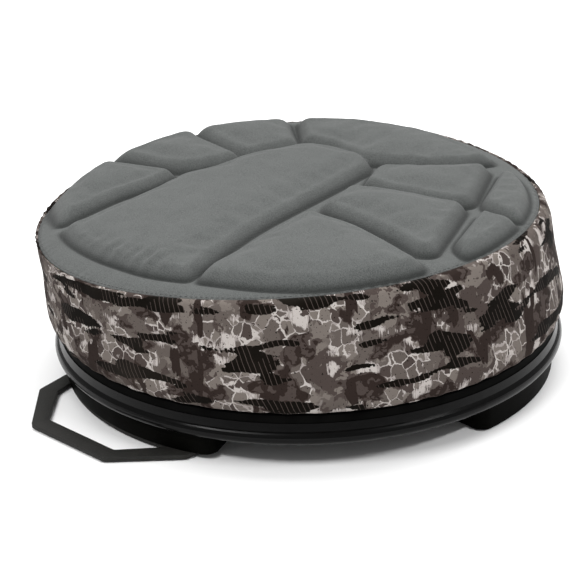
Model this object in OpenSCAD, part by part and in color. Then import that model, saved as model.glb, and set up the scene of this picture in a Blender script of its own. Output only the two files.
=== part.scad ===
// Blind swivel seat: a low round cushion in a moulded pan that turns on a ball
// race over a three-lobed base, with a flat carry handle under one lobe.
// Frame: +Z up, origin on the floor under the pivot; the handle points to -Y.

/* [Cushion] */
// Widest radius of the cushion
cushion_radius = 191; // [190.5:0.5:194]
// Radius of the seam between the top pad and the side band
seam_radius = 178; // [174:0.5:180]
// Height of that seam above the floor
seam_height = 118; // [114:1:122]
// Rise of the raised pads above the border of the top pad
pad_rise = 11; // [8:0.5:13]
// Further rise of the pads from their edge to the middle
crown_rise = 5; // [3:0.5:7]
// Thickness of the side band's laminated fabric
band_thickness = 1.5; // [1.2:0.1:1.8]
// Thickness of the plywood seat board
board_thickness = 9; // [8:0.5:9]

/* [Seat pan] */
// Outer radius of the pan's upright wall
pan_radius = 186.5; // [186.5:0.5:188]
// Radius of the round bead of the trim on the pan's lower edge
bead_radius = 5.5; // [5:0.25:5.5]
// How far the trim hangs below the pan's floor
bead_drop = 6.5; // [5:0.5:7]
// Thickness of the pan's floor and wall
pan_thickness = 3; // [2.8:0.1:3.2]

/* [Base] */
// Radius of the lobes of the base
base_radius = 184.5; // [182:0.5:185]
// Height of the base's top face above the floor
base_height = 24; // [23.5:0.25:24.5]
// Half of the angle that each lobe spans, in degrees
lobe_half_angle = 29; // [29:1:30]
// Radius of the round hub between the lobes
hub_radius = 120; // [116:1:126]
// Wall thickness of the base moulding
base_wall = 3; // [2.5:0.25:3.5]

/* [Handle] */
// Distance from the pivot to the handle's outer edge
handle_reach = 222; // [218:1:226]
// Width of the handle's bar
bar_width = 13; // [11:0.5:14]
// Thickness of the handle plate
plate_thickness = 3.2; // [3:0.1:3.4]
// Turn of the handle plate about the middle of its outer edge, in degrees
handle_turn = 6; // [0:1:7]

/* [Swivel bearing] */
// Diameter of the bearing balls
ball_diameter = 6.35; // [6:0.05:6.4]
// Number of balls in the cage
ball_count = 28; // [20:2:32]
// Radius of the circle that the balls run on
race_radius = 70; // [69:0.5:71]
// Diameter of the pivot bolt's shank
bolt_diameter = 8; // [7.9:0.05:8]

/* [Hidden] */
$fn = 64;

gap = 0.2;                  // face-to-face clearance between fixed pieces
lobe_count = 3;
lobe_step = 360 / lobe_count;

// Heights of the stack, from the floor up
wall_bottom = 1;            // lower edge of the base's walls
recess_floor = 14;          // floor of the bearing recess
recess_radius = 92;
recess_under = recess_floor - base_wall;
boss_bottom = 3;            // lower end of the hub boss
pan_under = base_height + 2;
pan_floor = pan_under + pan_thickness;
pan_hub_top = pan_floor + 1.4;
pan_lip = pan_floor + 13;
staple_wire = 0.7;
hem_bottom = pan_floor + gap / 2 + staple_wire;
board_bottom = hem_bottom + band_thickness + gap / 2;
board_top = board_bottom + board_thickness;
foam_bottom = board_top + 1.4;
pad_edge = seam_radius - 0.5;
ball_height = 20;

// Bearing sections
sheet = 1.5;                // race plate thickness
groove_radius = ball_diameter / 2 + 0.075;
cup_radius = groove_radius + sheet;
cup_edge = 1.4;             // cup walls stop this far from the balls' centre plane
race_flange = groove_radius + 1.2;     // inner face of a race flange, from the balls' centres

// Fastener places
cushion_screw_radius = 130;
upper_screw_radius = 57;
lower_screw_radius = 84;
screw_spread = 90;
foot_radius = 150;
foot_angle = 14;
glide_radius = 160;
tee_barrel = 7.8;
screw_4 = 3.5;              // shank diameter of the small race screws
screw_5 = 4.9;              // shank diameter of the cushion and handle screws
handle_screw_places = [[0, -171], [62, -156], [-62, -156]];
tang_edge = hub_radius + 6; // inboard edge of the handle plate
tang_half = 54;
grip_half = 39;             // half the length of the handle's straight bar
widest_half = 79;
foot_pad_radius = 13;
foot_stem = 4;

// Pivot bolt and what is on it
bolt_head_bottom = boss_bottom + 0.4;
bolt_head = 4;
bush_top = pan_floor + 1.5;
washer_bottom = bush_top + 0.05;
nut_bottom = washer_bottom + 1.65;
nut_height = 8;
bolt_top = nut_bottom + nut_height + 1.5;

// ---- outlines ---------------------------------------------------------------

function arc(centre, r, from, to, steps) =
    [for (i = [0:steps]) let (a = from + (to - from) * i / steps)
        centre + r * [cos(a), sin(a)]];

function unit(v) = v / norm(v);

// Points of a path moved sideways by d, to the right of its direction of travel.
function beside(path, d) =
    [for (i = [0:len(path) - 1]) let (
        before = path[max(i - 1, 0)],
        after = path[min(i + 1, len(path) - 1)],
        along = unit(after - before))
        path[i] + d * [along.y, -along.x]];

// A closed polygon with each corner rounded to radius r by a short run of points.
function rounded(points, r, steps = 6) =
    let (n = len(points))
    [for (i = [0:n - 1]) let (
        corner = points[i],
        back = unit(points[(i + n - 1) % n] - corner),
        ahead = unit(points[(i + 1) % n] - corner),
        half = acos(back * ahead) / 2,
        centre = corner + unit(back + ahead) * r / sin(half),
        start = corner + back * r / tan(half) - centre,
        end = corner + ahead * r / tan(half) - centre,
        turn = atan2(cross(start, end), start * end))
        for (k = [0:steps]) let (a = turn * k / steps)
            centre + [start.x * cos(a) - start.y * sin(a), start.x * sin(a) + start.y * cos(a)]];

// Outer line of the side band in section, from the seam down and under the board.
band_line = concat(
    [[seam_radius, seam_height],
     [seam_radius + 3, seam_height - 1],
     [seam_radius + 5.2, seam_height - 4],
     [cushion_radius - 6.8, seam_height - 10],
     [cushion_radius - 5.4, seam_height - 28],
     [cushion_radius - 3, seam_height - 48],
     [cushion_radius - 0.8, pan_lip + 10]],
    arc([cushion_radius - 4.2, pan_lip + 5.2], 4.2, 10, -80, 5),
    [[pan_radius - 1, pan_lip + 1.1],
     [pan_radius - pan_thickness - gap - 0.4, pan_lip],
     [pan_radius - pan_thickness - gap - 0.6, pan_lip - 3],
     [pan_radius - pan_thickness - 1.6, board_bottom + 2],
     [pan_radius - pan_thickness - 2.2, hem_bottom + 1.6],
     [pan_radius - pan_thickness - 4.5, hem_bottom],
     [150, hem_bottom]]
);

// ---- base -------------------------------------------------------------------

module at_lobes() {
    for (i = [0:lobe_count - 1])
        rotate(i * lobe_step) children();
}

module at_one_lobe_feet() {
    for (side = [-1, 1])
        rotate(side * foot_angle) translate([0, -foot_radius]) children();
}

module at_feet() {
    at_lobes() at_one_lobe_feet() children();
}

module around(count, r, first = 0) {
    for (i = [0:count - 1])
        rotate(first + i * 360 / count) translate([r, 0]) children();
}

module tube(r_out, r_in, bottom, top) {
    translate([0, 0, bottom]) difference() {
        cylinder(r = r_out, h = top - bottom);
        translate([0, 0, -1]) cylinder(r = r_in, h = top - bottom + 2);
    }
}

// One lobe, pointing to -Y, drawn inside its true outline by inset.
module lobe_outline(inset) {
    corner = 9;
    swing = lobe_half_angle - asin(corner / (base_radius - corner));
    far = base_radius - corner;
    intersection() {
        circle(r = base_radius - inset, $fn = 180);
        translate([0, -inset / sin(lobe_half_angle)])
            polygon([[0, 0],
                for (a = [-swing, swing]) 1.2 * base_radius * [sin(a), -cos(a)]]);
    }
    intersection() {
        circle(r = far * cos(lobe_half_angle - swing), $fn = 180);
        translate([0, -inset / sin(lobe_half_angle)])
            polygon([[0, 0],
                for (a = [-1, 1]) far * 1.3 * [sin(a * lobe_half_angle), -cos(lobe_half_angle)]]);
    }
    for (a = [-swing, swing])
        translate(far * [sin(a), -cos(a)]) circle(r = corner - inset);
}

module base_outline(inset) {
    circle(r = hub_radius - inset, $fn = 180);
    at_lobes() lobe_outline(inset);
}

module base_ribs() {
    thickness = 2.5;
    rib_bottom = 10;
    rib_top = base_height - base_wall / 2;
    at_lobes() for (a = [-foot_angle, 0, foot_angle])
        rotate(a) translate([-thickness / 2, -(base_radius - base_wall / 2), rib_bottom])
            cube([thickness, base_radius - recess_radius - base_wall, rib_top - rib_bottom]);
}

module base_bosses() {
    boss_top = base_height - base_wall / 2;
    at_feet() translate([0, 0, 3.1]) cylinder(r = 9, h = boss_top - 3.1);
    for (p = handle_screw_places)
        translate([p.x, p.y, wall_bottom + plate_thickness + gap]) cylinder(r = 6, h = 17);
    around(4, lower_screw_radius, 45)
        translate([0, 0, 6]) cylinder(r = 5, h = recess_under - 6 + 1);
    translate([0, 0, boss_bottom]) cylinder(r = 16, h = recess_floor - boss_bottom);
}

module base_moulding() {
    handle_step = wall_bottom + plate_thickness + gap;
    color([0.06, 0.06, 0.06]) difference() {
        union() {
            difference() {
                translate([0, 0, wall_bottom])
                    linear_extrude(base_height - wall_bottom) base_outline(0);
                translate([0, 0, -1])
                    linear_extrude(base_height - base_wall + 1) base_outline(base_wall);
                // room for the handle plate under its lobe
                translate([-100, -200, -1])
                    cube([200, 200 - tang_edge + 0.5, handle_step + 1]);
            }
            tube(recess_radius + base_wall, recess_radius, recess_under, base_height - 0.5);
            translate([0, 0, recess_under]) cylinder(r = recess_radius + 1, h = base_wall);
            base_ribs();
            base_bosses();
        }
        // bearing recess
        translate([0, 0, recess_floor]) cylinder(r = recess_radius, h = base_height);
        // pivot hole and the round pocket for the bolt's head
        translate([0, 0, -1]) cylinder(r = bolt_diameter / 2 + 0.1, h = 40);
        translate([0, 0, boss_bottom - 1]) cylinder(r = 9, h = 7);
        // screw holes, foot holes and glide holes
        around(4, lower_screw_radius, 45) cylinder(r = screw_4 / 2 + 0.05, h = recess_floor + 1);
        for (p = handle_screw_places)
            translate(p) cylinder(r = screw_5 / 2 + 0.05, h = 17.5);
        at_feet() cylinder(r = foot_stem + 0.05, h = 13);
        at_lobes() translate([0, -glide_radius, base_height - base_wall - 1])
            cylinder(r = 4.05, h = base_wall + 2);
    }
}

module rubber_feet() {
    color([0.09, 0.09, 0.09]) at_feet() {
        cylinder(r = foot_pad_radius, h = 3);
        cylinder(r = foot_stem, h = 11);
    }
}

module centre_foot() {
    pocket = 2.8;
    color([0.09, 0.09, 0.09]) difference() {
        cylinder(r = 19, h = 8.4);
        translate([0, 0, pocket]) cylinder(r = 16.05, h = 8);
    }
}

module glide_buttons() {
    color([0.85, 0.84, 0.8]) at_lobes() translate([0, -glide_radius, 0]) {
        translate([0, 0, base_height + 0.02]) cylinder(r = 11, h = 1.68);
        translate([0, 0, base_height - base_wall - 0.6]) cylinder(r = 4, h = base_wall + 1.4);
    }
}

// ---- handle -----------------------------------------------------------------

// Turned a few degrees about the middle of the handle's outer edge.
module turned() {
    translate([0, -handle_reach]) rotate(handle_turn) translate([0, handle_reach]) children();
}

module handle_outline() {
    shoulder = handle_reach - 40;     // depth of the widest corners
    tang_side = [widest_half + 5, shoulder - 30];
    turned() polygon(rounded([
        [-tang_half, 10 - tang_edge], [-tang_side.x, -tang_side.y], [-widest_half, -shoulder],
        [-grip_half, -handle_reach], [grip_half, -handle_reach], [widest_half, -shoulder],
        [tang_side.x, -tang_side.y], [tang_half, 10 - tang_edge]], 6));
}

module handle_window() {
    depth = handle_reach - bar_width;
    inner_shoulder = depth - 33.5;
    turned() polygon(rounded([
        [-widest_half + 7, -inner_shoulder + 24], [-widest_half + bar_width, -inner_shoulder],
        [-grip_half + 3.5, -depth], [grip_half - 3.5, -depth],
        [widest_half - bar_width, -inner_shoulder], [widest_half - 7, -inner_shoulder + 24]], 4));
}

module carry_handle() {
    countersink = 2.7;
    color([0.12, 0.12, 0.12]) difference() {
        translate([0, 0, wall_bottom]) linear_extrude(plate_thickness) difference() {
            intersection() {
                handle_outline();
                translate([-150, -tang_edge - 150]) square([300, 150]);
            }
            difference() {
                handle_window();
                circle(r = base_radius - 1, $fn = 180);
            }
        }
        at_one_lobe_feet() translate([0, 0, -1]) cylinder(r = 14.5, h = 12);
        for (p = handle_screw_places) translate(p) {
            cylinder(r = screw_5 / 2 + 0.3, h = 12);
            translate([0, 0, wall_bottom - 0.01])
                cylinder(r1 = screw_5 / 2 + 2.9, r2 = screw_5 / 2 + 0.2, h = countersink);
        }
    }
}

module flat_head_screw(bottom, length, head = 2.6) {
    translate([0, 0, bottom]) {
        cylinder(r1 = screw_5 / 2 + head, r2 = screw_5 / 2, h = head);
        cylinder(d = screw_5, h = length);
    }
}

module handle_screws() {
    color([0.3, 0.3, 0.31]) for (p = handle_screw_places)
        translate(p) difference() {
            flat_head_screw(wall_bottom + 0.05, 15);
            cylinder(r = 1.6, h = 2.8, $fn = 6);
        }
}

// ---- swivel bearing ---------------------------------------------------------

// Section of a pressed race: a cup under the balls and a flat flange beside it.
module race_section(flange_from, flange_to) {
    drop = cup_radius - sheet + 1.2;
    difference() {
        union() {
            intersection() {
                translate([race_radius, 0]) circle(r = cup_radius);
                translate([race_radius - 20, -20]) square([40, 20 - cup_edge]);
            }
            translate([flange_from, -drop - sheet]) square([flange_to - flange_from, sheet]);
        }
        translate([race_radius, 0]) circle(r = groove_radius);
    }
}

module lower_race() {
    color([0.62, 0.63, 0.65]) difference() {
        translate([0, 0, ball_height]) rotate_extrude($fn = 180)
            race_section(race_radius - 6, recess_radius - 2);
        around(4, lower_screw_radius, 45) cylinder(r = screw_4 / 2 + 0.3, h = 30);
    }
}

module upper_race() {
    color([0.62, 0.63, 0.65]) difference() {
        translate([0, 0, ball_height]) mirror([0, 0, 1]) rotate_extrude($fn = 180)
            race_section(race_radius - 20, race_radius + 6);
        around(4, upper_screw_radius) cylinder(r = screw_4 / 2 + 0.3, h = 40);
    }
}

module pan_head_screw(length) {
    head = 2.2;
    difference() {
        union() {
            cylinder(r = screw_4, h = head);
            cylinder(d = screw_4, h = head + length);
        }
        translate([0, 0, -0.1]) cylinder(r = 1.3, h = 1.4, $fn = 6);
    }
}

module lower_race_screws() {
    color([0.7, 0.7, 0.72]) around(4, lower_screw_radius, 45)
        translate([0, 0, ball_height - race_flange + 2.25]) mirror([0, 0, 1]) pan_head_screw(8.5);
}

module upper_race_screws() {
    color([0.7, 0.7, 0.72]) around(4, upper_screw_radius)
        translate([0, 0, ball_height + race_flange - 2.25]) pan_head_screw(5.2);
}

module ball_cage() {
    color([0.8, 0.78, 0.7]) difference() {
        tube(race_radius + 8, race_radius - 8, ball_height - 0.8, ball_height + 0.8);
        around(ball_count, race_radius)
            translate([0, 0, ball_height - 2]) cylinder(r = ball_diameter / 2 + 0.06, h = 4);
    }
}

module bearing_balls() {
    color([0.75, 0.75, 0.77]) around(ball_count, race_radius)
        translate([0, 0, ball_height]) sphere(d = ball_diameter);
}

module hexagon(across_flats, h) {
    cylinder(d = across_flats / cos(30), h = h, $fn = 6);
}

module pivot_bolt() {
    color([0.66, 0.66, 0.68]) translate([0, 0, bolt_head_bottom]) {
        hexagon(13, bolt_head);
        cylinder(d = bolt_diameter, h = bolt_top - bolt_head_bottom);
    }
}

module washer(r, bottom, h) {
    color([0.72, 0.72, 0.74]) tube(r, bolt_diameter / 2 + 0.1, bottom, bottom + h);
}

module bolt_washer() washer(8.4, bolt_head_bottom + bolt_head + 0.02, 1.5);

module nut_washer() washer(9, washer_bottom, 1.6);

module lock_nut() {
    color([0.7, 0.7, 0.72]) translate([0, 0, nut_bottom]) difference() {
        union() {
            hexagon(13, nut_height - 2);
            cylinder(r = 5.9, h = nut_height);
        }
        translate([0, 0, -1]) cylinder(r = bolt_diameter / 2 + 0.02, h = nut_height + 2);
    }
}

module pivot_bush() {
    color([0.88, 0.87, 0.82]) difference() {
        union() {
            translate([0, 0, pan_under]) cylinder(r = 6.5, h = pan_thickness + 1);
            translate([0, 0, pan_floor + 0.02]) cylinder(r = 11, h = bush_top - pan_floor - 0.02);
        }
        translate([0, 0, pan_under - 1]) cylinder(r = bolt_diameter / 2 + 0.05, h = 10);
    }
}

// ---- seat -------------------------------------------------------------------

module seat_pan() {
    step_in = 18;
    hub_edge = 68;
    inner = pan_radius - pan_thickness;
    section = concat(
        [[6.55, pan_under], [pan_radius, pan_under], [pan_radius, pan_lip - 1]],
        arc([pan_radius - pan_thickness / 2, pan_lip - 1], pan_thickness / 2 - 0.1, 0, 180, 8),
        [[inner, pan_lip - 2], [inner, pan_floor + 3]],
        arc([inner - 3, pan_floor + 3], 3, 0, -90, 4),
        [[hub_edge, pan_floor], [hub_edge, pan_hub_top], [step_in, pan_hub_top],
         [step_in, pan_floor], [6.55, pan_floor]]);
    color([0.05, 0.05, 0.05]) difference() {
        rotate_extrude($fn = 180) polygon(section);
        around(4, upper_screw_radius)
            translate([0, 0, pan_under - 1]) cylinder(r = screw_4 / 2 + 0.05, h = 8);
        around(4, cushion_screw_radius, screw_spread / 2) {
            translate([0, 0, pan_under - 1]) cylinder(r = screw_5 / 2 + 0.3, h = 8);
            translate([0, 0, pan_under - 0.01])
                cylinder(r1 = screw_5 / 2 + 2.75, r2 = screw_5 / 2 + 0.1, h = 2.7);
        }
    }
}

// Ring of soft plastic pushed on round the pan's lower edge
module edge_trim() {
    bead = [pan_radius + 5 - bead_radius, pan_under - bead_drop + bead_radius];
    skirt = bead.x - 0.4;
    fit = 0.02;
    section = concat(
        [[skirt, pan_under - fit], [skirt, bead.y - bead_radius + 0.8]],
        arc(bead, bead_radius, -90, 62, 12),
        [[pan_radius + 0.7, pan_floor + 6.4], [pan_radius + fit, pan_floor + 6.6],
         [pan_radius + fit, pan_under - fit]]);
    color([0.05, 0.05, 0.05]) rotate_extrude($fn = 180) polygon(section);
}

module cushion_screws() {
    color([0.7, 0.7, 0.72]) around(4, cushion_screw_radius, screw_spread / 2)
        difference() {
            flat_head_screw(pan_under + 0.05, board_top - pan_under - 0.5);
            translate([0, 0, pan_under - 0.1]) cylinder(r = 1.6, h = 1.8, $fn = 6);
        }
}

module seat_board() {
    color([0.72, 0.58, 0.4]) difference() {
        tube(pan_radius - pan_thickness - 5, 20, board_bottom, board_top);
        around(4, cushion_screw_radius, screw_spread / 2)
            translate([0, 0, board_bottom - 1]) cylinder(r = tee_barrel / 2 + 0.1, h = 20);
    }
}

module tee_nuts() {
    color([0.7, 0.7, 0.72]) around(4, cushion_screw_radius, screw_spread / 2) difference() {
        union() {
            translate([0, 0, board_bottom + 1]) cylinder(d = tee_barrel, h = board_thickness - 1);
            translate([0, 0, board_top + 0.02]) cylinder(r = 9.5, h = 1);
            translate([0, 0, board_top - 0.5]) cylinder(d = tee_barrel, h = 1);
        }
        translate([0, 0, board_bottom]) cylinder(r = screw_5 / 2 + 0.05, h = 20);
    }
}

module band_staples() {
    count = 24;
    crown_length = 10;
    leg = 6;
    color([0.75, 0.75, 0.77]) around(count, 160, 7.5)
        translate([-staple_wire / 2, -crown_length / 2, hem_bottom - staple_wire]) {
            cube([staple_wire, crown_length, staple_wire]);
            cube([staple_wire, staple_wire, leg]);
            translate([0, crown_length - staple_wire, 0]) cube([staple_wire, staple_wire, leg]);
        }
}

module side_band() {
    inner = beside(band_line, band_thickness);
    color([0.42, 0.37, 0.35]) rotate_extrude($fn = 180)
        polygon(concat(band_line, [for (i = [len(inner) - 1:-1:0]) inner[i]]));
}

module foam_core() {
    skin = beside(band_line, band_thickness + gap);
    side = [for (p = skin) if (p.y > foam_bottom && p.y < seam_height - 3) p];
    pocket = 14;
    color([0.9, 0.85, 0.6]) difference() {
        rotate_extrude($fn = 180) polygon(concat(
            [[0, foam_bottom], [0, seam_height + 1.6], [pad_edge - 1.6, seam_height - 2.2]],
            side,
            [[side[len(side) - 1].x - 2, foam_bottom]]));
        translate([0, 0, foam_bottom - 1]) cylinder(r = pocket, h = 6);
    }
}

module top_pad() {
    border = 13;
    foot = pad_edge - border;
    border_top = seam_height + 2.5;
    rim_top = border_top + pad_rise - 3;
    crown = border_top + pad_rise + crown_rise;
    color([0.44, 0.46, 0.46]) rotate_extrude($fn = 180) polygon(concat(
        [[0, seam_height + 2], [pad_edge, seam_height - 1.6], [pad_edge, seam_height + 0.4]],
        [[foot + 1, border_top], [foot, border_top + 0.6], [foot - 2.5, rim_top]],
        [for (i = [1:8]) let (r = (foot - 2.5) * (1 - i / 8))
            [r, crown - (crown - rim_top) * pow(r / (foot - 2.5), 3)]]));
}

top_pad();
side_band();
foam_core();
seat_board();
tee_nuts();
band_staples();
cushion_screws();
seat_pan();
edge_trim();
upper_race();
upper_race_screws();
pivot_bush();
ball_cage();
bearing_balls();
base_moulding();
lower_race();
lower_race_screws();
pivot_bolt();
bolt_washer();
nut_washer();
lock_nut();
glide_buttons();
rubber_feet();
centre_foot();
carry_handle();
handle_screws();
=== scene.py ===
"""Looks of the blind swivel seat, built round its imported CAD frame.

Everything is in metres in the CAD's frame: +Z up, the origin on the floor under the pivot, and the
carry handle towards -Y. The cushion's cover, the moulded shells and the floor are made here; the
fasteners and the bearing keep their CAD meshes and get finished materials.
"""
import math

import bmesh
import bpy
import numpy as np
from mathutils import Matrix, Vector


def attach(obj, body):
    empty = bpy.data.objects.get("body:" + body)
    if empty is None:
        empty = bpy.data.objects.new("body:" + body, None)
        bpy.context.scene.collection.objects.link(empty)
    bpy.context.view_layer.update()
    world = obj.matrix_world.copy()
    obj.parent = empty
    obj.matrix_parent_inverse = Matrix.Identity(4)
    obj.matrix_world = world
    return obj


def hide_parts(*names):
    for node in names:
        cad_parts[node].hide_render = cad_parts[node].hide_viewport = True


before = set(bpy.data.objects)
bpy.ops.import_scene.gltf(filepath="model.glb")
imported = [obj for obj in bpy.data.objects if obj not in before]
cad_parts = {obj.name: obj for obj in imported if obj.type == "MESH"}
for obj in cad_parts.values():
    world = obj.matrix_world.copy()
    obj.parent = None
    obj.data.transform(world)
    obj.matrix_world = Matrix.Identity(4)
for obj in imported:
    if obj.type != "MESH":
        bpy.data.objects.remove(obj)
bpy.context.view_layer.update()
SCENE = bpy.context.scene
MM = 0.001
WORLD_GREY = 0.50           # strength of the plain surroundings

# ---- the cushion's own frame --------------------------------------------------------------
# Its panels and print are laid out in millimetres with X to the right and Y away from someone
# who looks from azimuth FACING. The soft top leans a little, so it is laid out upright and then
# settled by settle().
FACING = math.radians(50.5)
SEAM_RADIUS = 178.0
SEAM_HEIGHT = 118.0
LIP_HEIGHT = 44.0           # the pan's lip, under which the cover doesn't move
LEAN = 5.0                  # sideways lean of the whole top
LEFT_LEAN = 9.0             # how much further its left side leans out
TILT = (0.042, -0.016)      # rise of the top per mm to the right and away
BOW_NEAR, BOW_FAR = 3.3, 12.4       # rise of its near and far edges over its sides
TWIST = -1.7                # how much two opposite quarters rise and the other two sink
FLARE, FLARE_AZIMUTH = 8.0, math.radians(140)   # how far the top turns out at its far left
SEAM_SHIFT = (6.0, -3.5)    # how far the seam on the left is pulled out and down over the shoulder
SEAM_SHIFT_AZIMUTH = math.radians(178)
SEAM_SHIFT_WIDTH = 5.0      # how far from the seam that pull fades


def settle(points):
    """Points in the cushion's frame, in mm, leaned and turned into the row frame, in metres."""
    x, y, z = points[:, 0], points[:, 1], points[:, 2]
    u, v = x / SEAM_RADIUS, y / SEAM_RADIUS
    share = np.clip((z - LIP_HEIGHT) / (SEAM_HEIGHT - LIP_HEIGHT), 0, 1)
    angle, radius = np.arctan2(y, x), np.hypot(x, y)
    out = FLARE * share ** 4 * np.clip(np.cos(angle - FLARE_AZIMUTH), 0, 1) ** 6
    out *= (radius / SEAM_RADIUS) ** 4
    pull = share ** 8 * np.exp(-((radius - SEAM_RADIUS) / SEAM_SHIFT_WIDTH) ** 2)
    pull *= np.clip(np.cos(angle - SEAM_SHIFT_AZIMUTH), 0, 1) ** 2
    out += SEAM_SHIFT[0] * pull
    x2 = x - share * (LEAN + LEFT_LEAN * np.minimum(u, 0) ** 2) + out * np.cos(angle)
    y2 = y + out * np.sin(angle)
    rise = TILT[0] * x + TILT[1] * y + np.where(v < 0, BOW_NEAR, BOW_FAR) * v * v + TWIST * u * v
    z2 = z + share * rise + SEAM_SHIFT[1] * pull
    c, s = math.cos(FACING), math.sin(FACING)
    return np.stack([x2 * c - y2 * s, x2 * s + y2 * c, z2], axis=1) * MM


# ---- camera -------------------------------------------------------------------------------
def make_camera():
    elevation, roll = math.radians(22.91), math.radians(-1.60)
    target, distance = Vector((0, 0, 0.060)), 1.5
    turn = (Matrix.Rotation(FACING, 4, "Z") @ Matrix.Rotation(math.pi / 2 - elevation, 4, "X")
            @ Matrix.Rotation(roll, 4, "Z"))
    data = bpy.data.cameras.new("camera")
    data.sensor_width = 36.0
    data.lens = 124.34
    data.shift_x, data.shift_y = -0.0330, -0.0109
    data.clip_start, data.clip_end = 0.05, 30.0
    camera = bpy.data.objects.new("camera", data)
    SCENE.collection.objects.link(camera)
    camera.matrix_world = Matrix.Translation(target + turn.to_3x3() @ Vector((0, 0, distance))) @ turn
    SCENE.camera = camera


# ---- node helpers -------------------------------------------------------------------------
def srgb(*values):
    """A linear colour from the usual 0 to 255 values."""
    linear = [v / 255 / 12.92 if v <= 10 else ((v / 255 + 0.055) / 1.055) ** 2.4 for v in values]
    return (*linear, 1.0)


class Graph:
    """Short ways to build one material's node tree."""

    def __init__(self, name):
        self.material = bpy.data.materials.new(name)
        self.material.use_nodes = True
        self.tree = self.material.node_tree
        self.shader = self.tree.nodes["Principled BSDF"]

    def feed(self, socket, value):
        if isinstance(value, bpy.types.NodeSocket):
            self.tree.links.new(value, socket)
        else:
            socket.default_value = value

    def node(self, kind, inputs=None, **settings):
        made = self.tree.nodes.new("ShaderNode" + kind)
        for key, value in settings.items():
            setattr(made, key, value)
        for key, value in (inputs or {}).items():
            self.feed(made.inputs[key], value)
        return made

    def set(self, **values):
        """Values of the surface shader, with _ for a space."""
        for key, value in values.items():
            self.feed(self.shader.inputs[key.replace("_", " ")], value)

    def math(self, operation, a, b=0.0, c=0.0):
        return self.node("Math", {0: a, 1: b, 2: c}, operation=operation).outputs[0]

    def place(self, source="object", scale=(1, 1, 1), turn=(0, 0, 0), move=(0, 0, 0)):
        """Coordinates: the object's own in metres, or the fabric's flat ones, scaled."""
        if source == "object":
            out = self.node("TexCoord").outputs["Object"]
        else:
            out = self.node("UVMap", uv_map=source).outputs[0]
        return self.node("Mapping", {0: out, 1: move, 2: turn, 3: scale}).outputs[0]

    def noise(self, where, scale, detail=2.0, rough=0.5, colour=False):
        made = self.node("TexNoise", {"Vector": where, "Scale": scale, "Detail": detail, "Roughness": rough})
        return made.outputs["Color" if colour else "Fac"]

    def voronoi(self, where, scale, feature="F1", out="Distance"):
        made = self.node("TexVoronoi", {"Vector": where, "Scale": scale}, feature=feature)
        return made.outputs[out]

    def warp(self, where, scale, amount, detail=2.0):
        """where moved by noise, amount at most each way."""
        random = self.noise(where, scale, detail, colour=True)
        swing = self.node("VectorMath", {0: random, 1: (0.5, 0.5, 0.5)}, operation="SUBTRACT").outputs[0]
        swing = self.node("VectorMath", {0: swing, "Scale": 2 * amount}, operation="SCALE").outputs[0]
        return self.node("VectorMath", {0: where, 1: swing}, operation="ADD").outputs[0]

    def step(self, value, low, high, flip=False):
        """0 below low and 1 above high, or the other way round, smooth between."""
        ends = {3: 1.0, 4: 0.0} if flip else {3: 0.0, 4: 1.0}
        return self.node("MapRange", {0: value, 1: low, 2: high, **ends},
                         interpolation_type="SMOOTHSTEP").outputs[0]

    def ramp(self, value, stops, steps=False):
        made = self.node("ValToRGB", {0: value})
        made.color_ramp.interpolation = "CONSTANT" if steps else "LINEAR"
        elements = made.color_ramp.elements
        for _ in range(len(stops) - 2):
            elements.new(0.5)
        for element, (place, colour) in zip(elements, stops):
            element.position = place
            element.color = colour
        return made.outputs[0]

    def over(self, mask, colour, below, blend="MIX"):
        """colour laid over below where mask is 1."""
        made = self.node("Mix", {0: mask, 6: below, 7: colour}, data_type="RGBA", blend_type=blend)
        return made.outputs[2]

    def bumps(self, *layers):
        """Each layer is (height, how deep in metres). The result feeds the shader's normal."""
        normal = None
        for height, depth in layers:
            made = self.node("Bump", {"Height": height, "Distance": depth, "Strength": 1.0})
            if normal is not None:
                self.feed(made.inputs["Normal"], normal)
            normal = made.outputs[0]
        self.feed(self.shader.inputs["Normal"], normal)


def weave(graph, where, pitch):
    """Height of a plain weave with that pitch, in metres, from 0 to 1."""
    axes = graph.node("SeparateXYZ", {0: where})
    waves = [graph.math("SINE", graph.math("MULTIPLY", axes.outputs[i], math.pi / pitch)) for i in (0, 1)]
    return graph.math("MULTIPLY_ADD", graph.math("MULTIPLY", waves[0], waves[1]), 0.5, 0.5)


# ---- materials ----------------------------------------------------------------------------
def knit_material():
    """Brushed grey stretch fabric laminated to the moulded foam, with painted shade along the pads' feet."""
    g = Graph("grey_knit")
    where = g.place()
    mottle = g.noise(where, 55, 4, 0.6)
    fibres = g.noise(where, 1500, 2, 0.6)
    tone = g.ramp(mottle, [(0.30, srgb(67, 69, 68)), (0.70, srgb(75, 77, 76))])
    tone = g.over(g.step(fibres, 0.42, 0.70), srgb(85, 87, 86), tone)
    tone = g.over(g.step(fibres, 0.30, 0.44, flip=True), srgb(56, 58, 57), tone)
    # painted shade: the knit darkened along the crease at each pad's foot, from the attribute set in
    # build_top
    pressed = g.node("Attribute", attribute_name="pressed").outputs["Fac"]
    tone = g.over(g.math("MULTIPLY", pressed, 0.8), srgb(24, 26, 25), tone)
    g.set(Base_Color=tone, Roughness=0.93, Sheen_Weight=0.08, Sheen_Roughness=0.6,
          Specular_IOR_Level=0.1)
    g.bumps((mottle, 0.0004), (fibres, 0.00012), (weave(g, g.place(turn=(0, 0, 0.6)), 0.0008), 0.00008))
    return g.material


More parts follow.
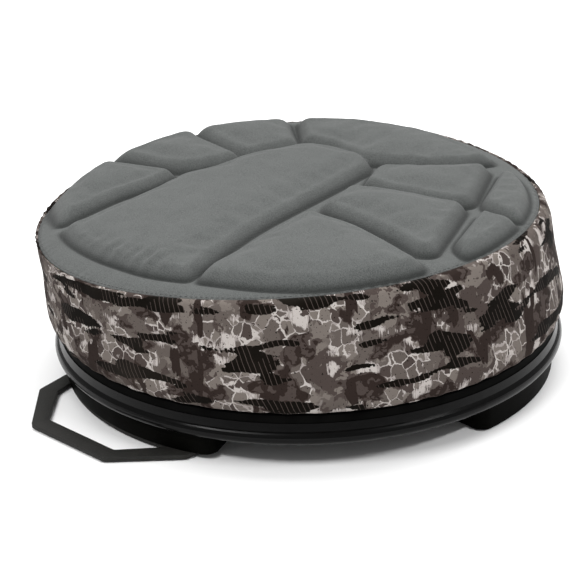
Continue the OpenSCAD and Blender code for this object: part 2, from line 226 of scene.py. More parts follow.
def camo_material():
    """Printed woven fabric: a made-up mix of cracked ground, blots and hatched strokes."""
    g = Graph("printed_canvas")
    flat = g.place("cloth", scale=(100, 100, 100))          # centimetres along and up the band
    torn = g.warp(g.warp(flat, 0.7, 0.6, 3), 4.5, 0.11, 3)
    fine = g.warp(g.warp(flat, 1.1, 0.22), 5.0, 0.07, 2)
    taupe, light, dusk = srgb(82, 75, 71), srgb(101, 94, 89), srgb(63, 55, 52)
    pale, white = srgb(138, 131, 128), srgb(163, 157, 153)
    brown, black = srgb(39, 31, 28), srgb(10, 7, 4)

    # ground: patches of close tones with torn edges
    pick = g.node("SeparateColor", {0: g.voronoi(torn, 0.55, out="Color")}).outputs[0]
    patches = [(0.0, taupe), (0.26, light), (0.46, dusk), (0.64, taupe), (0.93, pale)]
    ground = g.ramp(pick, patches, steps=True)
    blots = g.noise(torn, 1.0, 3, 0.6)
    ground = g.over(g.step(blots, 0.575, 0.585), dusk, ground)
    ground = g.over(g.step(blots, 0.39, 0.40, flip=True), light, ground)

    # cracked ground: thin pale lines round flat stones, in some areas
    cracked = g.step(g.noise(flat, 0.30, 1.5), 0.47, 0.49)
    stones = g.voronoi(fine, 1.15, "DISTANCE_TO_EDGE")
    shade = g.node("SeparateColor", {0: g.voronoi(fine, 1.15, out="Color")}).outputs[1]
    stone = g.ramp(shade, [(0.0, taupe), (0.4, light), (0.75, dusk)], steps=True)
    ground = g.over(cracked, stone, ground)
    crack = g.math("MULTIPLY_ADD", g.noise(flat, 1.4, 2), 0.14, -0.032)
    ground = g.over(g.math("MULTIPLY", cracked, g.math("LESS_THAN", stones, crack)), pale, ground)
    halo = g.math("MULTIPLY_ADD", g.noise(flat, 0.9, 2), 0.34, -0.145)
    ground = g.over(g.math("MULTIPLY", cracked, g.math("LESS_THAN", stones, halo)), white, ground)

    # pale washes with upright scratches at their edges
    comb = g.noise(g.place("cloth", scale=(1100, 120, 100), turn=(0, 0, 0.12)), 1.0, 1)
    wash = g.math("MULTIPLY_ADD", comb, 0.16, g.noise(g.warp(flat, 1.6, 0.30, 4), 0.45, 2, 0.55))
    ground = g.over(g.step(wash, 0.675, 0.68), pale, ground)
    ground = g.over(g.step(wash, 0.705, 0.71), white, ground)

    # brown blots, like torn leaves, with a darker middle
    leaves = g.place("cloth", scale=(80, 100, 100), turn=(0, 0, -0.5))
    blot = g.noise(g.warp(g.warp(leaves, 1.2, 0.55, 3), 5.0, 0.10, 2), 0.45, 2, 0.5)
    ground = g.over(g.step(blot, 0.548, 0.552), dusk, ground)
    ground = g.over(g.step(blot, 0.575, 0.579), brown, ground)
    inner = g.noise(g.warp(flat, 2.2, 0.35, 3), 1.2, 2)
    ground = g.over(g.math("MULTIPLY", g.step(blot, 0.60, 0.604), g.step(inner, 0.52, 0.53)), dusk, ground)

    # stems: narrow brown bands, nearly upright
    upright = g.place("cloth", scale=(95, 34, 100), turn=(0, 0, 0.7))
    stem = g.noise(g.warp(g.warp(upright, 0.5, 0.9, 2), 4.0, 0.12, 2), 0.62, 1)
    ground = g.over(g.step(stem, 0.645, 0.65), brown, ground)

    # hatched strokes: long black shapes, cut across in part by fine slanting lines
    lines = g.place("cloth", scale=(100, 100, 100), turn=(0, 0, 0.30))
    along = g.node("SeparateXYZ", {0: g.warp(lines, 0.8, 0.06)}).outputs[0]
    hatch = g.math("FRACT", g.math("MULTIPLY", along, 2.9))
    long_shapes = g.place("cloth", scale=(34, 120, 100), turn=(0, 0, 0.09))
    stroke = g.noise(g.warp(g.warp(long_shapes, 0.9, 0.2, 2), 4.0, 0.10, 2), 0.62, 1.5)
    stroke = g.math("MULTIPLY_ADD", g.math("GREATER_THAN", hatch, 0.55), 0.010, stroke)
    ink = g.step(stroke, 0.583, 0.586)
    ground = g.over(ink, black, ground)
    cut = g.math("MULTIPLY", g.math("LESS_THAN", hatch, 0.13), g.step(g.noise(flat, 0.5, 1), 0.44, 0.46))
    ground = g.over(g.math("MULTIPLY", cut, g.step(stroke, 0.575, 0.578)), dusk, ground)

    # specks
    specks = g.noise(flat, 6.0, 2)
    ground = g.over(g.step(specks, 0.66, 0.68), black, ground)

    cloth = weave(g, g.place("cloth"), 0.00055)
    # painted shade of the weave: the threads lightened and darkened over the print
    weave_shade_and_soil = g.over(0.18, g.ramp(cloth, [(0, (0.2, 0.2, 0.2, 1)), (1, (0.8, 0.8, 0.8, 1))]), ground, "OVERLAY")
    soil = g.noise(g.place(), 14, 3, 0.6)
    weave_shade_and_soil = g.over(g.math("MULTIPLY", g.step(soil, 0.5, 0.8), 0.08), srgb(96, 88, 80), weave_shade_and_soil)
    g.set(Base_Color=weave_shade_and_soil, Roughness=0.9, Sheen_Weight=0.01, Sheen_Roughness=0.5, Specular_IOR_Level=0.05)
    g.bumps((g.noise(g.place(), 90, 3), 0.0003), (cloth, 0.00010))
    return g.material


def moulded_material(name, colour, roughness, grain, shine=0.03):
    """Black moulded plastic with a fine spark-eroded grain, flow streaks and scuffed edges."""
    g = Graph(name)
    where = g.place()
    cloud = g.noise(where, 22, 4, 0.6)
    texture = g.noise(where, 1300, 2, 0.6)
    scuff = g.noise(g.place(scale=(1, 1, 5), turn=(0.3, 0.2, 0)), 160, 6, 0.72)
    worn = g.step(g.node("NewGeometry").outputs["Pointiness"], 0.53, 0.60)
    tone = g.ramp(cloud, [(0.3, colour), (0.75, tuple(1.35 * c for c in colour[:3]) + (1,))])
    tone = g.over(g.math("MULTIPLY", g.step(scuff, 0.60, 0.74), 0.25), srgb(12, 12, 11), tone)
    tone = g.over(g.math("MULTIPLY", worn, 0.30), srgb(20, 20, 19), tone)
    rough = g.math("MULTIPLY_ADD", cloud, 0.10, roughness - 0.05)
    rough = g.math("MULTIPLY_ADD", g.step(scuff, 0.58, 0.72), 0.10, rough)
    g.set(Base_Color=tone, Roughness=rough, Specular_IOR_Level=shine)
    g.bumps((texture, grain), (g.noise(where, 45, 2), 0.00015))
    return g.material


def powder_material():
    """Dark textured powder coat on the steel handle, rubbed paler in places."""
    g = Graph("powder_coat")
    where = g.place()
    orange_peel = g.noise(where, 700, 3, 0.6)
    rubbed = g.noise(where, 38, 5, 0.7)
    tone = g.ramp(rubbed, [(0.32, srgb(24, 24, 22)), (0.72, srgb(36, 35, 33))])
    tone = g.over(g.step(orange_peel, 0.58, 0.72), srgb(44, 43, 40), tone)
    worn = g.step(g.node("NewGeometry").outputs["Pointiness"], 0.54, 0.64)
    tone = g.over(g.math("MULTIPLY", worn, 0.4), srgb(96, 94, 90), tone)
    g.set(Base_Color=tone, Roughness=g.math("MULTIPLY_ADD", rubbed, 0.2, 0.52), Specular_IOR_Level=0.2)
    g.bumps((orange_peel, 0.00022), (g.noise(where, 60, 2), 0.0001))
    return g.material


def rubber_material():
    g = Graph("rubber")
    where = g.place()
    dust = g.noise(where, 80, 5, 0.7)
    grain = g.noise(where, 1800, 1)
    g.set(Base_Color=g.ramp(dust, [(0.35, srgb(24, 24, 24)), (0.75, srgb(52, 50, 47))]),
          Roughness=g.math("MULTIPLY_ADD", dust, 0.2, 0.7), Specular_IOR_Level=0.3)
    g.bumps((grain, 0.0001))
    return g.material


def metal_material(name, colour, roughness, scale=(1, 1, 18)):
    """Bright metal with fine drawn lines and dull spots."""
    g = Graph(name)
    lines = g.noise(g.place(scale=scale), 420, 3, 0.6)
    spots = g.noise(g.place(), 120, 4, 0.65)
    tone = g.ramp(spots, [(0.3, tuple(0.8 * c for c in colour[:3]) + (1,)), (0.7, colour)])
    g.set(Base_Color=tone, Metallic=1.0, Roughness=g.math("MULTIPLY_ADD", spots, 0.22, roughness - 0.1))
    g.bumps((lines, 0.00003))
    return g.material


def acetal_material():
    """Milky engineering plastic of the bush, the cage and the glides."""
    g = Graph("acetal")
    cloud = g.noise(g.place(), 60, 3)
    g.set(Base_Color=g.ramp(cloud, [(0.3, srgb(216, 212, 200)), (0.7, srgb(232, 229, 220))]),
          Roughness=g.math("MULTIPLY_ADD", cloud, 0.15, 0.32), Subsurface_Weight=0.08,
          Subsurface_Scale=0.004)
    g.bumps((g.noise(g.place(), 900, 2), 0.00004))
    return g.material


def plywood_material():
    """Birch plywood: grain on the faces and plies on the edge."""
    g = Graph("plywood")
    grain = g.noise(g.warp(g.place(scale=(1, 14, 1)), 9, 0.012), 30, 5, 0.6)
    face = g.ramp(grain, [(0.3, srgb(176, 134, 88)), (0.7, srgb(214, 178, 130))])
    height = g.node("SeparateXYZ", {0: g.place()}).outputs[2]
    plies = g.math("SINE", g.math("MULTIPLY", height, math.pi / 0.0013))
    up = g.node("SeparateXYZ", {0: g.node("NewGeometry").outputs["Normal"]}).outputs[2]
    edge = g.step(g.math("ABSOLUTE", up), 0.4, 0.6, flip=True)
    tone = g.over(g.math("MULTIPLY", edge, g.step(plies, -0.2, 0.2)), srgb(140, 98, 60), face)
    g.set(Base_Color=tone, Roughness=0.62)
    g.bumps((grain, 0.0002))
    return g.material


def foam_material():
    """Open-cell cushion foam."""
    g = Graph("foam")
    pores = g.voronoi(g.place(), 900)
    tint = g.noise(g.place(), 12, 3)
    g.set(Base_Color=g.ramp(tint, [(0.3, srgb(224, 206, 140)), (0.7, srgb(236, 220, 160))]),
          Roughness=0.95, Subsurface_Weight=0.1, Subsurface_Scale=0.003)
    g.bumps((pores, 0.0006))
    return g.material


def thread_material():
    g = Graph("thread")
    twist = g.noise(g.place(scale=(1, 1, 3)), 1800, 2)
    g.set(Base_Color=g.ramp(twist, [(0.35, srgb(50, 52, 51)), (0.65, srgb(70, 72, 71))]),
          Roughness=0.7, Sheen_Weight=0.1)
    g.bumps((twist, 0.0002))
    return g.material


# ---- mesh helpers -------------------------------------------------------------------------
def mesh_object(name, points, faces, material, smooth=True):
    mesh = bpy.data.meshes.new(name)
    mesh.from_pydata([tuple(p) for p in points], [], faces)
    if material:
        mesh.materials.append(material)
    if smooth:
        mesh.shade_smooth()
    piece = bpy.data.objects.new(name, mesh)
    SCENE.collection.objects.link(piece)
    return piece


def finish_piece(piece, body, slot, *nodes):
    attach(piece, body)
    if nodes:
        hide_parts(*nodes)
    return piece


def apply_modifiers(piece):
    """piece's mesh as its modifiers make it, with none left on it."""
    graph = bpy.context.evaluated_depsgraph_get()
    made = bpy.data.meshes.new_from_object(piece.evaluated_get(graph))
    old = piece.data
    piece.modifiers.clear()
    piece.data = made
    bpy.data.meshes.remove(old)


def coordinates(mesh):
    values = np.empty(len(mesh.vertices) * 3)
    mesh.vertices.foreach_get("co", values)
    return values.reshape(-1, 3)


# ---- cloth simulation ---------------------------------------------------------------------
SIM_FRAMES = 20


def inflate(points, faces, hold, slack, most):
    """How far each point of a sheet moves, in metres, when it is blown up as cloth.

    hold is 1 where the sheet is held, slack the share by which the cloth is larger than the sheet,
    and most the longest move.
    """
    piece = mesh_object("blown_sheet", points, faces, None)
    group = piece.vertex_groups.new(name="hold")
    for index, weight in enumerate(hold):
        group.add([index], float(weight), "REPLACE")
    cloth = piece.modifiers.new("cloth", "CLOTH")
    fabric = cloth.settings
    fabric.quality = 6
    fabric.mass = 0.3
    fabric.tension_stiffness = fabric.compression_stiffness = 15
    fabric.shear_stiffness = 5
    fabric.bending_stiffness = 0.3
    fabric.use_pressure = True
    fabric.uniform_pressure_force = 4
    fabric.vertex_group_mass = "hold"
    fabric.shrink_min = -slack
    fabric.effector_weights.gravity = 0
    cloth.point_cache.frame_start, cloth.point_cache.frame_end = 1, SIM_FRAMES
    for step in range(1, SIM_FRAMES + 1):
        SCENE.frame_set(step)
    graph = bpy.context.evaluated_depsgraph_get()
    move = coordinates(piece.evaluated_get(graph).data) - points
    SCENE.frame_set(1)
    mesh = piece.data
    bpy.data.objects.remove(piece)
    bpy.data.meshes.remove(mesh)
    length = np.maximum(np.linalg.norm(move, axis=1), 1e-9)
    return move * (np.minimum(length, most) / length)[:, None]


def read_off(values, rows, columns, smooth):
    """A grid of values read off at finer rows and columns, which run from 0 to 1, and smoothed."""
    for axis, places in ((0, rows), (1, columns)):
        steps = np.linspace(0, 1, values.shape[axis])
        values = np.apply_along_axis(lambda line: np.interp(places, steps, line), axis, values)
    for _ in range(smooth):
        values[1:-1] = (values[:-2] + 2 * values[1:-1] + values[2:]) / 4
        values[:, 1:-1] = (values[:, :-2] + 2 * values[:, 1:-1] + values[:, 2:]) / 4
    return values


# ---- the cushion's top --------------------------------------------------------------------
# Shoulders of the raised pads, in mm in the cushion's frame. The pads' feet stop at the EDGE line,
# so points past it are cut off.
PADS = {
    "long": [(-190, -32), (-158, -26), (-141, -5), (-102, 36), (-84, 60), (-65, 69), (-40, 89), (-18, 96),
             (6, 105), (30, 96), (52, 70), (54, 52), (13, -4), (-31, -61), (-54, -101), (-76, -140),
             (-110, -200), (-200, -140)],
    "left": [(-200, 120), (-146, 102), (-129, 94), (-111, 83), (-91, 68), (-109, 49), (-132, 34),
             (-154, 8), (-168, -10), (-210, -10)],
    "far_left": [(-190, 130), (-142, 113), (-125, 108), (-103, 90), (-86, 77), (-59, 85), (-45, 92),
                 (-60, 115), (-77, 138), (-100, 200), (-190, 200)],
    "far": [(-40, 96), (-20, 103), (-1, 111), (-7, 152), (-12, 210), (-100, 210), (-70, 142), (-54, 117)],
    "crescent": [(0, 210), (7, 116), (15, 112), (29, 105), (40, 88), (50, 71), (64, 65), (83, 57),
                 (103, 53), (123, 54), (149, 60), (210, 90), (150, 210)],
    "upper": [(66, 48), (102, 42), (145, 43), (124, -37), (104, -28), (79, -9), (51, 14), (59, 41)],
    "lower": [(39, 6), (66, -4), (104, -32), (119, -43), (107, -81), (91, -127), (83, -126), (68, -97),
              (44, -62), (19, -32)],
    "near": [(11, -45), (38, -72), (61, -110), (82, -151), (110, -210), (-100, -210), (-64, -144),
             (-60, -132), (-31, -93), (1, -49)],
    "right": [(155, 30), (134, -39), (146, -63), (185, -80), (210, -20), (190, 40)],
    "near_right": [(131, -58), (140, -67), (185, -100), (160, -150), (118, -140), (108, -118)],
}
# line round the cushion that the pads' feet stop at
EDGE = [(-172, 0), (-162, -46), (-139, -87), (-101, -129), (-66, -148), (-30, -168), (12, -176), (67, -165),
        (124, -128), (155, -82), (170, -36), (171, 9), (161, 43), (143, 83), (107, 127), (52, 159), (-6, 168),
        (-50, 165), (-83, 158), (-127, 127), (-159, 85), (-172, 46), (-174, 21)]
PAD_RISE = 7.6              # height of a pad over the groove beside it
PAD_CROWN = 2.8             # how much more it rises towards its middle
PAD_WALL = 9.5              # width of its rounded side
PAD_CREASE = 0.9            # depth of the crease pressed in along its foot
SHOULDER = 4.5              # how far its foot lies outside its shoulder
TOP_RADIUS = SEAM_RADIUS - 0.6      # of the top's surface, which ends just inside the seam
GATHERS = math.radians(-42)         # way round from the near side to where the cover is gathered


def rounded(outline, radius=9.0, steps=5):
    """The outline with each corner turned into a short curve, longer where it is blunt."""
    points = [np.array(p, float) for p in outline]
    curve = []
    for i, corner in enumerate(points):
        before, after = points[i - 1] - corner, points[(i + 1) % len(points)] - corner
        reach = 0.45 * min(np.linalg.norm(before), np.linalg.norm(after))
        before, after = before / np.linalg.norm(before), after / np.linalg.norm(after)
        half = math.acos(np.clip(before @ after, -1, 1)) / 2
        if half < math.radians(65):
            reach = min(reach, radius / math.tan(half))
        for t in np.linspace(0, 1, steps + 1):
            curve.append((1 - t) ** 2 * (corner + before * reach) + 2 * t * (1 - t) * corner
                         + t * t * (corner + after * reach))
    return np.array(curve)


def inside(points, outline):
    """Distance of each point to a closed outline, positive inside."""
    best = np.full(len(points), 1e9)
    crossed = np.zeros(len(points), bool)
    for a, b in zip(outline, np.roll(outline, -1, axis=0)):
        edge = b - a
        offset = points - a
        t = np.clip(offset @ edge / max(edge @ edge, 1e-9), 0, 1)
        best = np.minimum(best, ((offset - t[:, None] * edge) ** 2).sum(axis=1))
        between = (a[1] > points[:, 1]) != (b[1] > points[:, 1])
        side = edge[0] * (points[:, 1] - a[1]) - edge[1] * (points[:, 0] - a[0])
        crossed ^= between & ((side > 0) != (b[1] > a[1]))
    return np.where(crossed, 1, -1) * np.sqrt(best)


def soft_least(a, b, width):
    """The lesser of a and b, rounded where they cross."""
    h = np.clip(0.5 + 0.5 * (b - a) / width, 0, 1)
    return b * (1 - h) + a * h - width * h * (1 - h)


def edge_inset(xy):
    """Distance inside the line that the pads' feet stop at."""
    return np.minimum(inside(xy, rounded(EDGE)), SEAM_RADIUS - 1 - np.hypot(xy[:, 0], xy[:, 1]))


def ripples(angle, waves, seed):
    """A wavy line round the cushion: a sum of waves of near numbers with random phases."""
    random = np.random.default_rng(seed)
    total = sum(np.sin(n * angle + random.uniform(0, 2 * math.pi)) * random.uniform(0.5, 1) for n in waves)
    return total / math.sqrt(len(waves))


def pad_depth(xy):
    """How far each point lies inside the pad that it is on, past that pad's foot, in mm."""
    deepest = np.full(len(xy), -1e3)
    limit = edge_inset(xy)
    for outline in PADS.values():
        shape = rounded(outline)
        near = ((xy > shape.min(axis=0) - 8) & (xy < shape.max(axis=0) + 8)).all(axis=1)
        depth = soft_least(inside(xy[near], shape) + SHOULDER, limit[near], 7)
        deepest[near] = np.maximum(deepest[near], depth)
    return deepest


def crease(depth):
    """1 along the foot of a pad and 0 away from it."""
    return np.exp(-((depth - 0.5) / 1.9) ** 2)


def top_height(xy):
    """Height of the top's surface before it settles, in mm."""
    r = np.hypot(xy[:, 0], xy[:, 1])
    angle = np.arctan2(xy[:, 0], -xy[:, 1])
    dome = SEAM_HEIGHT + 3 + 5 * (1 - np.clip(r / 167, 0, 1) ** 2)
    height = dome - 3 * np.clip((r - 165) / (SEAM_RADIUS - 165), 0, 1) ** 2
    depth = pad_depth(xy)
    u = np.clip(depth / PAD_WALL, 0, 1)
    height += PAD_RISE * (0.25 * u * u * (3 - 2 * u) + 0.75 * np.sin(u * math.pi / 2))
    height += PAD_CROWN * (1 - np.exp(-np.clip(depth, 0, None) / 18)) - PAD_CREASE * crease(depth)
    # short puckers where the cover is drawn down round the pads
    pull = np.exp(-((edge_inset(xy) - 11) / 7) ** 2) * np.exp(-((angle - GATHERS) / 0.5) ** 2)
    height += 0.8 * pull * ripples(angle, range(60, 96, 5), 5) * (depth > 0)
    # seam pulled down at each stitch
    height -= 0.35 * np.exp(-((SEAM_RADIUS - r) / 3.0) ** 2) * (1 + ripples(angle, range(110, 150, 5), 6))
    return height


def disc_grid(count):
    """Points of a square grid of count cells a side stretched over a disc of radius 1, and its faces."""
    side = np.linspace(-1, 1, count + 1)
    u, v = np.meshgrid(side, side, indexing="ij")
    points = np.stack([u * np.sqrt(1 - v * v / 2), v * np.sqrt(1 - u * u / 2)], axis=2).reshape(-1, 2)
    n = count + 1
    faces = [(i * n + j, (i + 1) * n + j, (i + 1) * n + j + 1, i * n + j + 1)
             for i in range(count) for j in range(count)]
    rim = ([i * n for i in range(count)] + [count * n + j for j in range(count)]
           + [(count - i) * n + count for i in range(count)] + [count - j for j in range(count)])
    return points, faces, rim


TOP_CELLS, TOP_SIM_CELLS = 280, 96


def top_swelling():
    """How the top's cover moves as it is filled, at each point of its fine grid, in metres.

    It is held in the grooves between the pads and round the seam.
    """
    flat, faces, _ = disc_grid(TOP_SIM_CELLS)
    xy = flat * TOP_RADIUS
    depth = np.minimum(pad_depth(xy), edge_inset(xy))
    hold = np.clip(1 - (depth - 2) / 10, 0, 1)
    sheet = settle(np.column_stack([xy, top_height(xy)]))
    move = inflate(sheet, faces, hold, slack=0.02, most=0.003).reshape(TOP_SIM_CELLS + 1, -1, 3)
    places = np.linspace(0, 1, TOP_CELLS + 1)
    return read_off(move, places, places, smooth=6).reshape(-1, 3)


def build_top(material):
    """The top pad: a closed solid with the moulded panels on it."""
    flat, faces, rim = disc_grid(TOP_CELLS)
    xy = flat * TOP_RADIUS
    points = [np.column_stack([xy, top_height(xy)])]
    # rings that turn the edge down into the seam and close the underside
    edge = points[0][rim]
    first = len(xy)
    rings = [(0.4, -0.7), (0.3, -1.5), (-0.6, -2.4), (-8, -2.0), (-60, 0.0), (-140, 1.0)]
    for out, down in rings:
        grown = edge.copy()
        length = np.hypot(edge[:, 0], edge[:, 1])[:, None]
        grown[:, :2] *= (length + out) / length
        grown[:, 2] = edge[:, 2] + down
        points.append(grown)
    count = len(rim)
    loops = [list(rim)] + [list(range(first + k * count, first + (k + 1) * count)) for k in range(len(rings))]
    for upper, lower in zip(loops, loops[1:]):
        for i in range(count):
            j = (i + 1) % count
            faces.append((upper[j], upper[i], lower[i], lower[j]))
    faces.append(tuple(loops[-1]))
    points = settle(np.vstack(points))
    points[:first] += top_swelling()
    piece = mesh_object("top_cover", points, faces, material)
    # painted shade: how strongly the knit is darkened along each pad's foot
    pressed = np.zeros(len(points))
    pressed[:first] = crease(pad_depth(xy))
    piece.data.attributes.new("pressed", "FLOAT", "POINT").data.foreach_set("value", pressed)
    return piece


# ---- the cushion's side -------------------------------------------------------------------
SIDE_LINE = [(178.2, 118.0), (180.2, 117.6), (182.2, 116.3), (183.5, 113.8), (184.3, 108), (184.8, 100),
             (185.7, 90), (187.0, 80), (188.4, 70), (189.8, 60), (190.7, 53), (190.7, 48.5), (189.9, 45.4),
             (187.6, 43.4), (185.0, 43.1), (182.9, 41.8), (182.7, 39), (181.9, 33.4), (181.2, 31.3),
             (178.8, 29.9), (168, 29.8), (150, 29.8)]
CLOTH = 1.4                 # thickness of the band's fabric
BAND_RADIUS = 190           # at which lengths along the band are measured
COLUMNS = 720
SIDE_SIM_COLUMNS, SIDE_SIM_ROWS = 288, 19


def smooth_line(points, step):
    """A curve through the points, with a point about every step."""
    p = np.array(points, float)
    p = np.vstack([2 * p[0] - p[1], p, 2 * p[-1] - p[-2]])
    curve = []
    for a, b, c, d in zip(p, p[1:], p[2:], p[3:]):
        count = max(1, round(np.linalg.norm(c - b) / step))
        for t in np.arange(count) / count:
            curve.append(0.5 * (2 * b + (c - a) * t + (2 * a - 5 * b + 4 * c - d) * t * t
                                + (3 * b - a - 3 * c + d) * t ** 3))
    curve.append(p[-2])
    return np.array(curve)


def side_points(line, angle, down):
    """Points of the band's outer face: line turned round, with its gathers. down is the way along it."""
    a, s = np.meshgrid(angle, down, indexing="ij")
    r = np.broadcast_to(line[:, 0], a.shape).copy()
    z = np.broadcast_to(line[:, 1], a.shape).copy()
    seam = np.exp(-(s / 7.0) ** 2) - np.exp(-(s / 1.6) ** 2)
    r += 0.50 * seam * ripples(a, range(100, 141, 5), 11)
    z += 0.35 * seam * ripples(a, range(100, 141, 5), 12)
    lip = np.exp(-((z - 47) / 6.5) ** 2)
    r += 0.55 * lip * ripples(a, range(44, 80, 4), 13)
    wall = np.clip((z - 47) / 14, 0, 1) * np.clip((SEAM_HEIGHT - 2 - z) / 22, 0, 1)
    r += 0.9 * wall * ripples(a + 0.0016 * (z - 80), (7, 9, 12, 15, 19), 14)
    r += 0.35 * wall * ripples(a - 0.0030 * (z - 80), range(26, 50, 4), 15)
    # the band's two ends are sewn together at the back
    r -= 0.9 * np.exp(-((np.abs(a) - math.pi) * BAND_RADIUS / 2.2) ** 2) * np.clip((z - LIP_HEIGHT) / 8, 0, 1)
    return np.stack([r * np.sin(a), -r * np.cos(a), z], axis=2)


def side_swelling(line, down, angle):
    """How the band moves as the cushion is filled. It is held at the seam and under the pan's lip."""
    shown = line[line[:, 1] > LIP_HEIGHT - 1]
    rows = np.linspace(0, len(shown) - 1, SIDE_SIM_ROWS).round().astype(int)
    turns = np.linspace(-math.pi, math.pi, SIDE_SIM_COLUMNS + 1)
    sheet = side_points(line[rows], turns, down[rows])
    count = SIDE_SIM_ROWS
    faces = [(i * count + k, i * count + k + 1, (i + 1) * count + k + 1, (i + 1) * count + k)
             for i in range(SIDE_SIM_COLUMNS) for k in range(count - 1)]
    ends = np.minimum(np.arange(count), np.arange(count)[::-1])
    hold = np.tile(np.clip(1 - ends / 3, 0, 1), SIDE_SIM_COLUMNS + 1)
    hold[:count] = hold[-count:] = 1
    move = inflate(settle(sheet.reshape(-1, 3)), faces, hold, slack=0.012, most=0.0025)
    move = move.reshape(SIDE_SIM_COLUMNS + 1, count, 3)
    places = np.interp(down, down[rows], np.linspace(0, 1, count))
    return read_off(move, (angle + math.pi) / (2 * math.pi), places, smooth=4)


def build_side(material):
    """The printed band, as a closed ring of fabric from the top seam to the hem under the board."""
    line = smooth_line(SIDE_LINE, 1.6)
    down = np.concatenate([[0], np.cumsum(np.linalg.norm(np.diff(line, axis=0), axis=1))])
    angle = np.linspace(-math.pi, math.pi, COLUMNS + 1)[:-1]
    outer = side_points(line, angle, down)
    tangent = np.gradient(line, axis=0)
    tangent /= np.linalg.norm(tangent, axis=1)[:, None]
    inward = np.stack([tangent[:, 1], -tangent[:, 0]], axis=1) * CLOTH
    keep = list(range(len(line) - 1, 0, -4)) + [0]
    inner_line = (line + inward)[keep]
    a = np.repeat(angle[:, None], len(keep), axis=1)
    inner = np.stack([inner_line[:, 0] * np.sin(a), -inner_line[:, 0] * np.cos(a),
                      np.broadcast_to(inner_line[:, 1], a.shape)], axis=2)
    rows = np.concatenate([outer, inner], axis=1)
    count = rows.shape[1]
    faces = []
    for i in range(COLUMNS):
        j = (i + 1) % COLUMNS
        for k in range(count):
            m = (k + 1) % count
            faces.append((i * count + k, i * count + m, j * count + m, j * count + k))
    points = settle(rows.reshape(-1, 3)).reshape(rows.shape)
    points[:, :len(line)] += side_swelling(line, down, angle)
    piece = mesh_object("side_cover", points.reshape(-1, 3), faces, material)
    # flat coordinates of the fabric, in metres: along the band and down it
    along = np.concatenate([down, down[keep]])
    layer = piece.data.uv_layers.new(name="cloth")
    values = np.empty((len(faces) * 4, 2))
    for f in range(len(faces)):
        i, k = divmod(f, count)
        m = (k + 1) % count
        values[f * 4:f * 4 + 4] = [(i, along[k]), (i, along[m]), (i + 1, along[m]), (i + 1, along[k])]
    values[:, 0] *= 2 * math.pi * BAND_RADIUS / COLUMNS
    layer.data.foreach_set("uv", (values * MM).ravel())
    return piece


# ---- the foam inside ----------------------------------------------------------------------
FOAM_LINE = [(14, 46.8), (14, 41.9), (174, 41.9), (181, 43.9), (186.6, 45.6), (188.6, 49), (188.6, 54),
             (187.6, 60), (184.8, 80), (182.6, 100), (181.9, 110), (180.2, 113.6), (176, 114.6), (120, 115),
             (60, 115.2)]


def build_foam(material, columns=120):
    angle = np.linspace(0, 2 * math.pi, columns + 1)[:-1]
    rings = [np.column_stack([r * np.cos(angle), r * np.sin(angle), np.full(columns, z)])
             for r, z in smooth_line(FOAM_LINE, 6)]
    faces = []
    for k in range(len(rings) - 1):
        for i in range(columns):
            j = (i + 1) % columns
            faces.append((k * columns + j, k * columns + i, (k + 1) * columns + i, (k + 1) * columns + j))
    faces.append(tuple(range(columns)))
    faces.append(tuple(reversed(range((len(rings) - 1) * columns, len(rings) * columns))))
    return mesh_object("foam_block", settle(np.vstack(rings)), faces, material)


# ---- stitches -----------------------------------------------------------------------------
def stitch_ring(name, path, length, gap, radius, material):
    """Short threads along a closed path of points in the row frame, each dipping into the cloth."""
    path = np.array(path)
    steps = np.linalg.norm(np.roll(path, -1, axis=0) - path, axis=1)
    total = steps.sum()
    count = int(total / (length + gap))
    reach = np.concatenate([[0], np.cumsum(steps)])
    closed = np.vstack([path, path[:1]])
    sides, rings = 6, 6
    points, faces = [], []
    for k in range(count):
        start = k * total / count
        at = start + np.linspace(0, length, rings)
        line = np.stack([np.interp(at % total, reach, closed[:, i]) for i in range(3)], axis=1)
        u = np.linspace(-1, 1, rings)
        line[:, 2] += radius * (0.9 - 1.6 * u ** 4)
        ahead = np.gradient(line, axis=0)
        ahead /= np.linalg.norm(ahead, axis=1)[:, None]
        side = np.cross(ahead, (0, 0, 1))
        side /= np.linalg.norm(side, axis=1)[:, None]
        up = np.cross(side, ahead)
        first = len(points)
        for r in range(rings):
            thick = radius * math.sqrt(max(0.08, 1 - u[r] ** 6))
            for c in range(sides):
                t = 2 * math.pi * c / sides
                points.append(line[r] + thick * (math.cos(t) * side[r] + math.sin(t) * up[r]))
        for r in range(rings - 1):
            for c in range(sides):
                d = (c + 1) % sides
                faces.append((first + r * sides + c, first + r * sides + d,
                              first + (r + 1) * sides + d, first + (r + 1) * sides + c))
        faces.append(tuple(first + c for c in reversed(range(sides))))
        faces.append(tuple(first + (rings - 1) * sides + c for c in range(sides)))
    return mesh_object(name, points, faces, material)


# ---- moulded and plate shells -------------------------------------------------------------
def eased_copy(node, name, width, material, segments=3):
    """A copy of a CAD node's mesh with its sharp edges eased by width, in metres."""
    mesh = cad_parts[node].data.copy()
    mesh.materials.clear()
    mesh.materials.append(material)
    shape = bmesh.new()
    shape.from_mesh(mesh)
    bmesh.ops.remove_doubles(shape, verts=shape.verts, dist=2e-6)
    bmesh.ops.dissolve_limit(shape, angle_limit=math.radians(0.5), verts=shape.verts, edges=shape.edges)
    shape.to_mesh(mesh)
    shape.free()
    piece = bpy.data.objects.new(name, mesh)
    SCENE.collection.objects.link(piece)
    bevel = piece.modifiers.new("ease", "BEVEL")
    bevel.width = width
    bevel.segments = segments
    bevel.limit_method = "ANGLE"
    bevel.angle_limit = math.radians(40)
    bevel.use_clamp_overlap = True
    apply_modifiers(piece)
    piece.data.shade_smooth()
    piece.data.set_sharp_from_angle(angle=math.radians(38))
    return piece


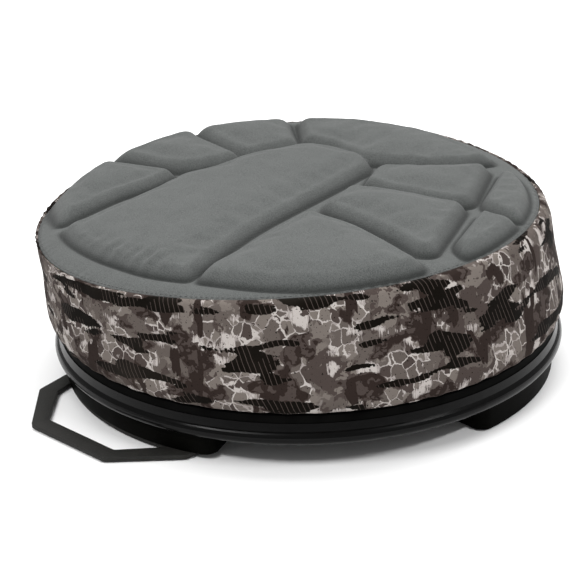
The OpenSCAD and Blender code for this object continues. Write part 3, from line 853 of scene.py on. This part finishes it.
# ---- stage --------------------------------------------------------------------------------
def build_stage():
    g = Graph("paper")
    mottle = g.noise(g.place(), 6, 3)
    g.set(Base_Color=g.ramp(mottle, [(0.3, (0.86, 0.86, 0.86, 1)), (0.7, (0.88, 0.88, 0.88, 1))]),
          Roughness=0.9, Specular_IOR_Level=0.1)
    size, drop = 14.0, 0.0003
    corners = [(-size, -size, -drop), (size, -size, -drop), (size, size, -drop), (-size, size, -drop)]
    floor = mesh_object("floor", corners, [(0, 1, 2, 3)], g.material, smooth=False)


def soft_box(name, azimuth, elevation, distance, width, height, power):
    """An area light that faces the cushion, placed by where it stands as seen from the seat."""
    data = bpy.data.lights.new(name, "AREA")
    data.shape = "RECTANGLE"
    data.size, data.size_y = width, height
    data.energy = power
    lamp = bpy.data.objects.new(name, data)
    SCENE.collection.objects.link(lamp)
    a, e = FACING + math.radians(azimuth), math.radians(elevation)
    away = Vector((math.sin(a) * math.cos(e), -math.cos(a) * math.cos(e), math.sin(e)))
    lamp.location = away * distance + Vector((0, 0, 0.06))
    lamp.rotation_euler = away.to_track_quat("Z", "Y").to_euler()


def build_lights():
    world = bpy.data.worlds.new("studio")
    SCENE.world = world
    world.use_nodes = True
    background = world.node_tree.nodes["Background"]
    background.inputs[0].default_value = (1.0, 1.0, 1.0, 1.0)
    background.inputs[1].default_value = WORLD_GREY
    soft_box("top_back", 172, 68, 2.2, 2.8, 1.8, 68)
    soft_box("left", -38, 44, 1.8, 0.9, 0.025, 17)
    soft_box("right", 48, 40, 1.8, 0.8, 0.025, 13)


# ---- everything together ------------------------------------------------------------------
make_camera()
SCENE.view_settings.view_transform = "Standard"

knit, camo, thread = knit_material(), camo_material(), thread_material()
steel = metal_material("plated_steel", srgb(186, 186, 190), 0.34)
race_steel = metal_material("race_steel", srgb(160, 161, 165), 0.30, scale=(1, 1, 1))
ball_steel = metal_material("ball_steel", srgb(205, 206, 210), 0.14, scale=(1, 1, 1))
black_steel = metal_material("black_screws", srgb(44, 44, 46), 0.45)
acetal, rubber = acetal_material(), rubber_material()
NODE_MATERIALS = {
    "seat_board": plywood_material(), "tee_nuts": steel,
    "band_staples": steel, "cushion_screws": steel, "upper_race": race_steel,
    "upper_race_screws": steel, "pivot_bush": acetal, "ball_cage": acetal, "bearing_balls": ball_steel,
    "lower_race": race_steel, "lower_race_screws": steel, "pivot_bolt": steel, "bolt_washer": steel,
    "nut_washer": steel, "lock_nut": steel, "glide_buttons": acetal, "rubber_feet": rubber,
    "centre_foot": rubber, "handle_screws": black_steel,
    "seat_pan": moulded_material("pan_plastic", srgb(3, 3, 3), 0.50, 0.00003, shine=0.006),
    "edge_trim": moulded_material("trim_plastic", srgb(3, 3, 3), 0.19, 0.000004, shine=0.11),
}
for node_name, finish in NODE_MATERIALS.items():
    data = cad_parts[node_name].data
    data.materials.clear()
    data.materials.append(finish)

top = finish_piece(build_top(knit), "seat", "pad_fabric", "top_pad")
side = finish_piece(build_side(camo), "seat", "band_fabric", "side_band")
foam = finish_piece(build_foam(foam_material()), "seat", "foam", "foam_core")

SEAM_ANGLES = np.linspace(0, 2 * math.pi, 721)[:-1]
STITCH_RADIUS = SEAM_RADIUS - 1.8
seam_path = np.stack([STITCH_RADIUS * np.sin(SEAM_ANGLES), -STITCH_RADIUS * np.cos(SEAM_ANGLES)], axis=1)
seam_path = settle(np.column_stack([seam_path, top_height(seam_path)]))
stitches = stitch_ring("seam_stitches", seam_path, 2.6 * MM, 1.2 * MM, 0.22 * MM, thread)
finish_piece(stitches, "seat", "pad_fabric")

base = eased_copy("base_moulding", "base_shell", 0.0009,
                  moulded_material("base_plastic", srgb(5, 5, 4), 0.45, 0.00005, shine=0.012))
finish_piece(base, "base", "base_plastic", "base_moulding")
handle = eased_copy("carry_handle", "handle_plate", 0.0006, powder_material())
finish_piece(handle, "base", "handle_paint", "carry_handle")

build_stage()
build_lights()
